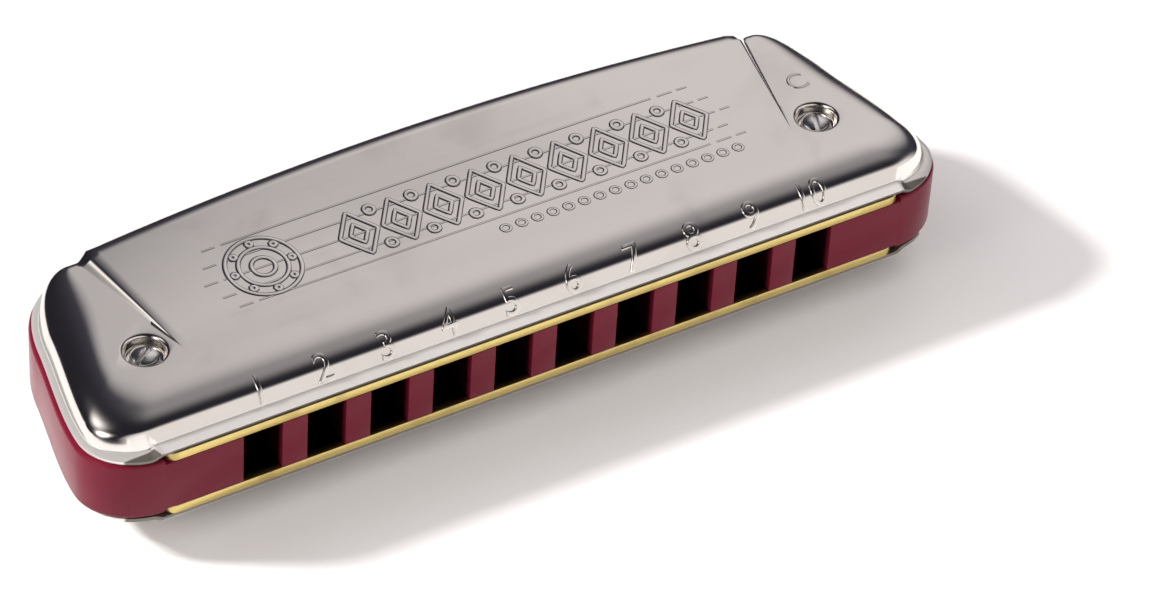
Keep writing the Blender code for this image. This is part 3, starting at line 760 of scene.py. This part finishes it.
def coverSkin():
    # right half of the outer skin, open at x = 0, in the upper cover's place
    bm = bmesh.new()

    def vertex(x, y, z):
        return bm.verts.new(place(x, y, z))

    rows = wallRows()
    endPart = []
    for front, side, rear, kind, value in rows:
        curve = planCurve(front, side, fanCounts, rear)
        stop = (holesHalf + cover["creaseSpread"], comb["depth"] - rear)
        straight = [(holesHalf + (curve[0][0] - holesHalf) * k / 8, front) for k in range(8)]
        straightBack = [(curve[-1][0] + (stop[0] - curve[-1][0]) * k / 3, stop[1]) for k in (1, 2, 3)]
        places = straight + curve + straightBack
        line = []
        for column, (x, y) in enumerate(places):
            foot = flangeZ(x, y)
            drop = rollDrop(column - 8, len(places) - 8)
            z = {"flange": foot + value * cover["flangeTilt"], "fillet": foot + value,
                 "flat": cover["endTop"]}.get(kind)
            if z is None:
                z = cover["endTop"] - drop * (1 - value)
            line.append(vertex(x, y, z))
        endPart.append(line)
    columns = len(endPart[0])
    ridge = []       # rows across the crease, foot first, hood edge last
    creaseSteps = 5
    for level in range(creaseSteps + 1):
        share = level / creaseSteps
        line = []
        for step in range(columns):
            along = step / (columns - 1)
            x = holesHalf + cover["creaseSpread"] * along
            y = cover["creaseY"] + (flatBack - cover["creaseY"]) * along
            height = (hoodZ(1.0, along) - cover["endTop"]) * math.sin(share * math.pi / 2) ** 1.15
            if step == 0 and level > 0:
                line.append(ridge[0][0])
            elif step == columns - 1 and level == 0:
                line.append(endPart[-1][-1])
            else:
                line.append(vertex(x - cover["creaseWidth"] * along * share, y,
                                   cover["endTop"] + height))
        ridge.append(line)
    faces = []

    def quads(lower, upper):
        for k in range(len(lower) - 1):
            corners = dict.fromkeys((lower[k], lower[k + 1], upper[k + 1], upper[k]))
            if len(corners) > 2:
                faces.append(tuple(corners))

    for lower, upper in zip(endPart, endPart[1:]):
        quads(lower, upper)
    # flat top of the end part, fanned in to the foot of the crease
    previous = endPart[-1]
    seam = []
    for share in (0.04, 0.94):
        line = []
        for step in range(columns):
            a, b = endPart[-1][step].co, ridge[0][step].co
            line.append(previous[-1] if step == columns - 1 else bm.verts.new(a + (b - a) * share))
        quads(previous, line)
        seam.append(line[0])
        previous = line
    quads(previous, ridge[0])
    for lower, upper in zip(ridge, ridge[1:]):
        quads(lower, upper)
    # hood, from the front flange to the back lip, middle to crease
    across = 40
    hood = []
    for side in [line[0] for line in endPart] + seam:
        edge = side.co
        hood.append([bm.verts.new((edge.x * u / across, edge.y, edge.z)) for u in range(across)]
                    + [side])
    for step in range(columns):
        along = step / (columns - 1)
        edge = ridge[-1][step]
        local = localOf(edge.co)
        row = []
        for u in range(across):
            share = u / across
            row.append(vertex(local.x * share, local.y + cover["bow"] * (1 - share ** 2) * along,
                              hoodZ(share, along)))
        hood.append(row + [edge])
    lipSteps = 10
    reach = cover["hoodBack"] - flatBack
    edge = localOf(ridge[-1][-1].co)
    for step in range(1, lipSteps + 1):
        angle = math.radians(80) * step / lipSteps
        out = reach * math.sin(angle) / math.sin(math.radians(80))
        drop = cover["lipDrop"] * (1 - math.cos(angle)) / (1 - math.cos(math.radians(80)))
        row = []
        for u in range(across + 1):
            share = u / across
            row.append(vertex(edge.x * share, flatBack + out + cover["bow"] * (1 - share ** 2),
                              hoodZ(share, 1.0) - drop))
        hood.append(row)
    for lower, upper in zip(hood, hood[1:]):
        quads(lower, upper)
    # the crease facet carries on beside the lip, down the end part's back roll
    lipEdge = [row[-1] for row in hood[-lipSteps - 1:]]
    endEdge = [line[-1] for line in reversed(endPart[-lipSteps - 1:])]
    facet = [lipEdge]
    for level in range(creaseSteps - 1, 0, -1):
        share = level / creaseSteps
        line = [ridge[level][-1]]
        for k in range(1, lipSteps + 1):
            line.append(bm.verts.new(endEdge[k].co + (lipEdge[k].co - endEdge[k].co) * share))
        facet.append(line)
    facet.append(endEdge)
    for first, second in zip(facet, facet[1:]):
        quads(first, second)
    for face in faces:
        bm.faces.new(face)
    bmesh.ops.remove_doubles(bm, verts=bm.verts, dist=1e-7)
    bmesh.ops.recalc_face_normals(bm, faces=bm.faces)
    bm.normal_update()
    if sum(face.normal.z * face.calc_area() for face in bm.faces) < 0:
        bmesh.ops.reverse_faces(bm, faces=bm.faces)
    return meshFrom(bm)


def buildCoverSheet():
    draft = newPiece("coverDraft", coverSkin(), nickel)
    mirror = draft.modifiers.new("halves", "MIRROR")
    mirror.use_axis[0] = True
    mirror.merge_threshold = 1e-6
    sheet = draft.modifiers.new("sheet", "SOLIDIFY")
    sheet.thickness = cover["sheet"] * mm
    sheet.offset = -1.0
    sheet.use_even_offset = False
    sheet.use_quality_normals = True
    applied(draft)
    top = cover["endTop"]
    floor = cover["dimpleFloor"]
    radius = cover["dimpleRadius"]
    flare = cover["dimpleFlare"]
    thick = cover["sheet"]
    cups, recesses, bores = [], [], []
    for centre in coverScrews:
        spot = place(centre.x, centre.y, 0)
        cup = [(0.0, top - 0.2), (radius + flare + 0.25, top - 0.2), (radius + thick, top - 1.0),
               (radius + thick - 0.1, floor - thick + 0.2), (radius + thick - 0.4, floor - thick),
               (0.0, floor - thick)]
        cups.append(turnedShape(cup, 48, spot))
        arc = [math.radians(a) for a in (0, 15, 30, 45, 60, 75, 90)]
        recess = [(0.0, top + 2), (radius + flare, top + 2), (radius + flare, top + 0.001)]
        recess += [(radius + flare - flare * math.sin(a), top + 0.001 - flare * (1 - math.cos(a)))
                   for a in arc[1:]]
        recess += [(radius - 0.05, floor + 0.3), (radius - 0.2, floor + 0.08),
                   (radius - 0.45, floor), (0.0, floor)]
        recesses.append(turnedShape(recess, 48, spot))
        bores.append(turnedShape([(0.0, floor + 1), (cover["bore"], floor + 1),
                                  (cover["bore"], floor - 2), (0.0, floor - 2)], 32, spot))
    cutWith(draft, cups, "UNION")
    cutWith(draft, recesses)
    cutWith(draft, bores)
    bevelEdges(draft, 0.05, 2, 60.0)
    return draft


coverDraft = buildCoverSheet()
print("cover sheet made", len(coverDraft.data.polygons))


# ---- relief on the covers: numbers on the front roll, a plain pattern on the hood

relief = {"height": 0.065, "halfWidth": 0.3, "lineHalfWidth": 0.13, "lineHeight": 0.03,
          "spacing": 0.3, "numberHeight": 3.3, "numberShift": 0.8, "keyHeight": 2.6,
          "keyPlace": (42.6, 17.0), "strokeCut": 0.07, "keyCut": 0.15,
          "lozenges": 9, "lozenge": (2.3, 3.2), "lozengeInner": 0.45,
          "bandStart": -13.0, "bandStep": 5.15, "bandY": 17.6, "bandRing": (2.6, 0.6),
          "rosette": (-24.5, 17.6), "rosetteRings": (1.3, 2.7, 4.1), "petals": (8, 3.4, 0.34),
          "beads": 16, "beadStart": (1.6, 11.6), "beadStep": 1.95, "bead": 0.55,
          "beadHalfWidth": 0.2, "beadHeight": 0.045,
          # y, left end and right end of each long line
          "lines": ((13.4, -29.5, 33.0), (15.3, -30.5, 31.8), (17.6, -31.5, 33.4),
                    (19.9, -30.5, 32.0), (22.2, -29.5, 30.6))}


def rollProfile():
    # outer line of the front wall as (y, z), from its foot up to the flat
    points = []
    drop = cover["endTop"] - cover["flangeTop"] - cover["wallRise"]
    rows = wallRows()
    foot = max(index for index, row in enumerate(rows) if row[3] == "fillet")
    for y, _, _, kind, value in rows[foot:]:
        z = {"fillet": cover["flangeTop"] + value, "roll": cover["endTop"] - drop * (1 - value)}
        points.append((y, z.get(kind, cover["endTop"])))
    points.append((cover["creaseY"], cover["endTop"]))
    return points


profilePoints = rollProfile()


def onRoll(distance, height):
    # point at a distance up the wall from its foot, lifted off the sheet by height
    left = distance
    for (y0, z0), (y1, z1) in zip(profilePoints, profilePoints[1:]):
        step = math.hypot(y1 - y0, z1 - z0)
        if left <= step or (y1, z1) == profilePoints[-1]:
            t = left / step
            ny, nz = -(z1 - z0) / step, (y1 - y0) / step
            return y0 + (y1 - y0) * t + ny * height, z0 + (z1 - z0) * t + nz * height
        left -= step


def textMesh(body, height, cut):
    curve = bpy.data.curves.new("number", "FONT")
    curve.body = body
    curve.align_x = "CENTER"
    curve.size = height / 0.72
    curve.resolution_u = 6
    curve.offset = -cut
    curve.extrude = 0.05
    curve.bevel_depth = 0.16
    curve.bevel_resolution = 3
    holder = inScene("number", curve)
    bpy.context.view_layer.update()
    mesh = bpy.data.meshes.new_from_object(
        holder.evaluated_get(bpy.context.evaluated_depsgraph_get()))
    bpy.data.objects.remove(holder)
    bm = bmesh.new()
    bm.from_mesh(mesh)
    bmesh.ops.remove_doubles(bm, verts=bm.verts, dist=1e-4)
    # long flat faces are split so that they follow the curved sheet
    for _ in range(2):
        long = [edge for edge in bm.edges if edge.calc_length() > 0.5]
        bmesh.ops.subdivide_edges(bm, edges=long, cuts=1)
    bmesh.ops.triangulate(bm, faces=bm.faces)
    return bm


def shapedNumber(body, x):
    bm = textMesh(body, relief["numberHeight"], relief["strokeCut"])
    for vert in bm.verts:
        y, z = onRoll(max(vert.co.y, 0.0) + 0.12, vert.co.z)
        vert.co = place(x + vert.co.x * 0.9, y, z)
    return bm


def reliefTree():
    # flat lines in, half-round ridges lying on the given surface out
    group, given, identifiers = newTree("ridgesOnSurface", {
        "Geometry": "Geometry", "Surface": "Object", "Half Width": "Float", "Height": "Float",
        "Spacing": "Float", "Finish": "Material"})
    wire = Wire(group)
    surface = wire.node("GeometryNodeObjectInfo", {}, {"Object": given["Surface"]}, "Geometry")
    lines = wire.node("GeometryNodeMeshToCurve", {}, {"Mesh": given["Geometry"]})
    even = wire.node("GeometryNodeResampleCurve", {"mode": "LENGTH"},
                     {"Curve": lines, "Length": given["Spacing"]})
    ring = wire.node("GeometryNodeCurvePrimitiveCircle", {},
                     {"Resolution": 10, "Radius": given["Half Width"]})
    tube = wire.node("GeometryNodeCurveToMesh", {},
                     {"Curve": even, "Profile Curve": ring, "Fill Caps": True})
    spot = wire.node("GeometryNodeInputPosition")
    x, y, z = (wire.node("ShaderNodeSeparateXYZ", {}, {"Vector": spot}, axis) for axis in range(3))
    above = wire.node("ShaderNodeCombineXYZ", {}, {"X": x, "Y": y, "Z": 1.0})
    hit = wire.node("GeometryNodeRaycast", {},
                    {"Target Geometry": surface, "Source Position": above,
                     "Ray Direction": (0, 0, -1), "Ray Length": 2.0}, "Hit Position")
    ground = wire.node("ShaderNodeSeparateXYZ", {}, {"Vector": hit}, "Z")
    ratio = wire.maths("DIVIDE", given["Height"], given["Half Width"])
    level = wire.node("ShaderNodeMath", {"operation": "MULTIPLY_ADD"}, {0: z, 1: ratio, 2: ground})
    lifted = wire.node("ShaderNodeCombineXYZ", {}, {"X": x, "Y": y, "Z": level})
    moved = wire.node("GeometryNodeSetPosition", {}, {"Geometry": tube, "Position": lifted})
    endTree(group, moved, given["Finish"])
    return group, identifiers


reliefGroup, reliefIdentifiers = reliefTree()


def ridges(surface, paths, halfWidth, height):
    # paths are (points, closed) in millimetres over the hood
    bm = bmesh.new()
    for points, closed in paths:
        verts = [bm.verts.new((x * mm, frontY + y * mm, 0)) for x, y in points]
        for a, b in zip(verts, verts[1:]):
            bm.edges.new((a, b))
        if closed:
            bm.edges.new((verts[-1], verts[0]))
    mesh = meshAfter(inScene("ridgeLines", meshFrom(bm)), reliefGroup, reliefIdentifiers,
                     {"Surface": surface, "Half Width": halfWidth * mm, "Height": height * mm,
                      "Spacing": relief["spacing"] * mm, "Finish": nickel})
    shape = bmesh.new()
    shape.from_mesh(mesh)
    bmesh.ops.recalc_face_normals(shape, faces=shape.faces)
    return shape


def straight(x0, x1, y, spacing=0.8):
    count = max(3, int(abs(x1 - x0) / spacing))
    return [(x0 + (x1 - x0) * k / count, y) for k in range(count + 1)]


def lozengePath(x, y, halfX, halfY, steps=6):
    corners = [(x - halfX, y), (x, y - halfY), (x + halfX, y), (x, y + halfY)]
    points = []
    for a, b in zip(corners, corners[1:] + corners[:1]):
        points += [(a[0] + (b[0] - a[0]) * k / steps, a[1] + (b[1] - a[1]) * k / steps)
                   for k in range(steps)]
    return points


def hoodPattern(surface):
    fine, bold = [], []
    # each fine line is broken off unevenly at both ends
    for y, left, right in relief["lines"]:
        for x0, x1 in ((left, left + 1.6), (left + 2.3, right - 4.6), (right - 3.8, right - 1.9),
                       (right - 1.3, right)):
            fine.append((straight(x0, x1, y), False))
    cx, cy = relief["rosette"]
    for radius in relief["rosetteRings"]:
        bold.append((circle(cx, cy, radius, 48), True))
    petals, reach, radius = relief["petals"]
    for x, y in circle(cx, cy, reach, petals):
        bold.append((circle(x, y, radius, 16), True))
    # a band of double lozenges with rings between them
    halfX, halfY = relief["lozenge"]
    inner = relief["lozengeInner"]
    reach, radius = relief["bandRing"]
    bandY = relief["bandY"]
    for k in range(relief["lozenges"]):
        x = relief["bandStart"] + relief["bandStep"] * k
        bold.append((lozengePath(x, bandY, halfX, halfY), True))
        bold.append((lozengePath(x, bandY, halfX * inner, halfY * inner), True))
        if k < relief["lozenges"] - 1:
            for y in (bandY - reach, bandY + reach):
                bold.append((circle(x + relief["bandStep"] / 2, y, radius, 20), True))
    x, y = relief["beadStart"]
    beads = [(circle(x + relief["beadStep"] * k, y, relief["bead"], 14), True)
             for k in range(relief["beads"])]
    return [ridges(surface, fine, relief["lineHalfWidth"], relief["lineHeight"]),
            ridges(surface, bold, relief["halfWidth"], relief["height"]),
            ridges(surface, beads, relief["beadHalfWidth"], relief["beadHeight"])]


def turnedOver(mesh):
    # the lower cover is the same pressing, turned over about the long middle line
    centre = Vector((0, 0, midZ))
    turn = Matrix.Translation(centre) @ Matrix.Rotation(math.pi, 4, "Y") @ Matrix.Translation(-centre)
    copy = mesh.copy()
    copy.transform(turn)
    return copy


patterned = joinedMesh(hoodPattern(coverDraft), coverDraft.data)
numbers = [shapedNumber(str(hole + 1), x + relief["numberShift"]) for hole, x in enumerate(holeX)]
keyMark = textMesh("C", relief["keyHeight"], relief["keyCut"])
for vert in keyMark.verts:
    vert.co = place(relief["keyPlace"][0] + vert.co.x, relief["keyPlace"][1] + vert.co.y,
                    cover["endTop"] + vert.co.z * 0.4)
upper = newPiece("upperCoverShell", joinedMesh(numbers + [keyMark], patterned), nickel, 38.0)
lower = newPiece("lowerCoverShell", turnedOver(patterned), nickel, 38.0)
bpy.data.objects.remove(coverDraft)
for piece, node in ((upper, "upper_cover"), (lower, "lower_cover")):
    flattened(piece)
    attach(piece, rootBody)
    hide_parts(node)
print("covers made", len(upper.data.polygons))


# ---- screws and nuts

screw = {"headRadius": 1.6, "headHeight": 0.95, "shank": 0.9, "slotWidth": 0.62, "slotDepth": 0.5,
         "crown": 0.32, "turns": (31.0, 69.0), "pitch": 0.4, "threadDepth": 0.13, "edge": 0.06}
nut = {"halfWidth": 1.75, "bore": 1.02, "edge": 0.05}
# the crown of a head, as shares of its radius and of the crown's height
crownCurve = ((0.3, 0.08), (0.55, 0.28), (0.75, 0.55), (0.9, 0.85), (0.97, 1.15), (1.0, 1.5))


def buildCoverScrew(index, centre):
    low, high = localBox("cover_screw_%d" % (index + 1))
    top = high.z
    seat = top - screw["headHeight"]
    radius, shank, pitch = screw["headRadius"], screw["shank"], screw["pitch"]
    profile = [(0.0, top)]
    profile += [(radius * out, top - screw["crown"] * down) for out, down in crownCurve]
    profile += [(radius, seat + 0.08), (radius - 0.08, seat), (shank, seat)]
    for k in range(int((seat - low.z - 0.3) / pitch)):
        z = seat - 0.1 - pitch * k
        profile += [(shank, z), (shank - screw["threadDepth"], z - pitch / 2)]
    profile += [(shank - 0.1, low.z + 0.1), (shank - 0.25, low.z), (0.0, low.z)]
    spot = place(centre.x, centre.y, 0)
    draft = newPiece("draft", meshFrom(turnedShape(profile, 40, spot)), steel)
    turn = math.radians(screw["turns"][index])
    half = screw["slotWidth"] / 2
    slot = [(centre.x + x * math.cos(turn) - y * math.sin(turn),
             centre.y + x * math.sin(turn) + y * math.cos(turn))
            for x, y in ((-4, -half), (4, -half), (4, half), (-4, half))]
    cutWith(draft, [slabFromOutline(slot, top - screw["slotDepth"], top + 1)])
    bevelEdges(draft, screw["edge"], 2, 50.0)
    fixedPiece(draft, "coverScrew%d" % (index + 1), steel, ["cover_screw_%d" % (index + 1)])


def buildNut(index, centre):
    low, high = localBox("cover_nut_%d" % (index + 1))
    radius = nut["halfWidth"] / math.cos(math.pi / 6)
    hexagon = [(centre.x + radius * math.sin(math.tau * k / 6),
                centre.y + radius * math.cos(math.tau * k / 6)) for k in range(6)]
    draft = newPiece("draft", meshFrom(slabFromOutline(hexagon, low.z, high.z)), steel)
    spot = place(centre.x, centre.y, 0)
    # a sloping ring takes the corners off the outer face
    ring = [(3.0, low.z + 0.7), (3.0, low.z - 1.0), (1.6, low.z - 1.0), (1.6, low.z - 0.1)]
    cutWith(draft, [turnedShape(ring, 48, spot, closed=True)])
    hole = [(0.0, high.z + 1), (nut["bore"], high.z + 1), (nut["bore"], low.z - 1), (0.0, low.z - 1)]
    cutWith(draft, [turnedShape(hole, 32, spot)])
    bevelEdges(draft, nut["edge"], 2, 40.0)
    fixedPiece(draft, "coverNut%d" % (index + 1), steel, ["cover_nut_%d" % (index + 1)])


plateScrew = {"shank": 0.65, "root": 0.55, "pitch": 0.35, "headHeight": 0.6,
              "slot": (4.0, 0.42, 0.7), "edge": 0.04}


def buildPlateScrews():
    low, high = localBox("plate_screw_1")
    under = low.z + plateScrew["headHeight"]
    shank, root, pitch = plateScrew["shank"], plateScrew["root"], plateScrew["pitch"]
    profile = [(0.0, high.z), (root, high.z), (shank, high.z - 0.1)]
    for k in range(int((high.z - under - 0.3) / pitch)):
        z = high.z - 0.15 - pitch * k
        profile += [(shank, z), (root, z - 0.17)]
    profile += [(shank, under + 0.05), (shank, under), (1.25, under), (1.3, under - 0.08),
                (1.26, low.z + 0.22), (1.05, low.z + 0.07), (0.7, low.z), (0.0, low.z)]
    draft = newPiece("draft", meshFrom(turnedShape(profile, 28, Vector((0, 0, 0)))), steel)
    slot = bmesh.new()
    size = Matrix.Diagonal((*(side * mm for side in plateScrew["slot"]), 1.0))
    bmesh.ops.create_cube(slot, size=1.0, matrix=Matrix.Translation((0, 0, low.z * mm)) @ size)
    cutWith(draft, [slot])
    bevelEdges(draft, plateScrew["edge"], 1, 50.0)
    shape = bmesh.new()
    shape.from_mesh(draft.data)
    bpy.data.objects.remove(draft)
    spots = [place(centre.x, centre.y, 0) for centre in plateScrews]
    fixedPiece(scatter(spots, shape, steel, turn=math.pi), "plateScrews", steel,
               ["plate_screw_%d" % (n + 1) for n in range(len(plateScrews))])


for index, centre in enumerate(coverScrews):
    buildCoverScrew(index, centre)
for index, centre in enumerate(coverScrews):
    buildNut(index, centre)
buildPlateScrews()
print("screws and nuts made")


# ---- floor, light and camera

studio = {"floorHalf": 1.6, "keyDirection": (-0.713, 0.431, 0.553), "keyStrength": 4.1,
          "keyAngle": 8.0, "fillHeight": 1.3, "fillSize": 2.4, "fillPower": 17.0,
          "azimuth": -33.153, "elevation": 41.968, "roll": 3.918, "lens": 160.07,
          "cameraPlace": (-218.436, -340.854, 370.588)}
# what the metal mirrors: a pale panel behind, and glows as (towards, tightness, strength)
mirrored = {"panel": (0.56, 0.53, 0.64), "panelEdge": (0.893, 0.995), "panelFoot": (0.14, 0.5),
            "panelStrength": 0.64, "haze": (7.0, 0.07),
            "lamp": ((-0.875, -0.13, 0.40), 55.0, 6.0), "window": ((-0.62, 0.33, 0.71), 40.0, 1.6),
            "overhead": ((0.40, 0.20, 0.89), 40.0, 0.28),
            "sweep": (0.45, -0.89, 0.0), "sweepEdge": (0.3, 0.8), "sweepTop": (0.45, 0.8),
            "sweepStrength": 0.9}


def buildFloor():
    half = studio["floorHalf"]
    bm = bmesh.new()
    corners = [bm.verts.new((x * half, y * half, 0)) for x, y in ((-1, -1), (1, -1), (1, 1), (-1, 1))]
    bm.faces.new(corners)
    made = Finish("studioFloor", (0.9, 0.89, 0.885), 0.75)
    grain = made.noise(60.0, 3.0)
    made.drive("Base Color", grain.blend((0.9, 0.89, 0.885, 1.0), (0.88, 0.87, 0.865, 1.0)))
    floor = newPiece("floor", meshFrom(bm), made.material)


def buildWorld():
    world = bpy.data.worlds.new("studio")
    bpy.context.scene.world = world
    world.use_nodes = True
    tree = world.node_tree
    wire = Wire(tree)
    direction = wire.node("ShaderNodeTexCoord", out="Generated")

    def facing(centre):
        unit = Vector(centre).normalized()
        return wire.node("ShaderNodeVectorMath", {"operation": "DOT_PRODUCT"},
                         {0: direction, 1: tuple(unit)}, out="Value")

    def lobe(centre, tight, strength):
        return wire.maths("MAXIMUM", facing(centre), 0.0) ** tight * strength

    height = wire.node("ShaderNodeSeparateXYZ", {}, {0: direction}, out=2)
    panel = facing(mirrored["panel"]).between(*mirrored["panelEdge"]) * mirrored["panelStrength"]
    panel = panel * facing((0.0, 1.0, 0.0)).between(*mirrored["panelFoot"])
    haze = lobe(mirrored["panel"], *mirrored["haze"])
    sweep = facing(mirrored["sweep"]).between(*mirrored["sweepEdge"])
    sweep = sweep * height.between(*mirrored["sweepTop"], 1.0, 0.0)
    light = panel + lobe(*mirrored["overhead"]) + lobe(*mirrored["lamp"]) + lobe(*mirrored["window"])
    light = light + sweep * mirrored["sweepStrength"]
    tint = wire.node("ShaderNodeCombineColor", {},
                     {0: light + haze + 0.02, 1: light * 0.955 + haze + 0.019,
                      2: light * 0.93 + haze * 1.25 + 0.026})
    tree.links.new(tint.socket, tree.nodes["Background"].inputs["Color"])
    tree.nodes["Background"].inputs["Strength"].default_value = 1.0


def buildLights():
    sun = bpy.data.lights.new("key", "SUN")
    sun.energy = studio["keyStrength"]
    sun.angle = math.radians(studio["keyAngle"])
    sun.color = (1.0, 0.995, 0.99)
    lamp = inScene("key", sun)
    lamp.rotation_euler = Vector(studio["keyDirection"]).to_track_quat("Z", "Y").to_euler()
    lamp.visible_glossy = False
    fill = bpy.data.lights.new("fill", "AREA")
    fill.energy = studio["fillPower"]
    fill.size = studio["fillSize"]
    fill.color = (1.0, 0.97, 0.955)
    lamp = inScene("fill", fill)
    lamp.location = (0.0, 0.0, studio["fillHeight"])
    lamp.visible_glossy = False


def buildCamera():
    azimuth, elevation, roll = (math.radians(studio[a]) for a in ("azimuth", "elevation", "roll"))
    back = Vector((math.sin(azimuth) * math.cos(elevation), -math.cos(azimuth) * math.cos(elevation),
                   math.sin(elevation)))
    right = Vector((math.cos(azimuth), math.sin(azimuth), 0.0))
    up = back.cross(right)
    across = right * math.cos(roll) + up * math.sin(roll)
    above = -right * math.sin(roll) + up * math.cos(roll)
    data = bpy.data.cameras.new("camera")
    data.lens = studio["lens"]
    data.sensor_width = 36.0
    camera = inScene("camera", data)
    turn = Matrix((across, above, back)).transposed().to_4x4()
    camera.matrix_world = Matrix.Translation(place(*studio["cameraPlace"])) @ turn
    bpy.context.scene.camera = camera


buildFloor()
buildWorld()
buildLights()
buildCamera()
bpy.context.scene.view_settings.view_transform = "Standard"
print("studio made")
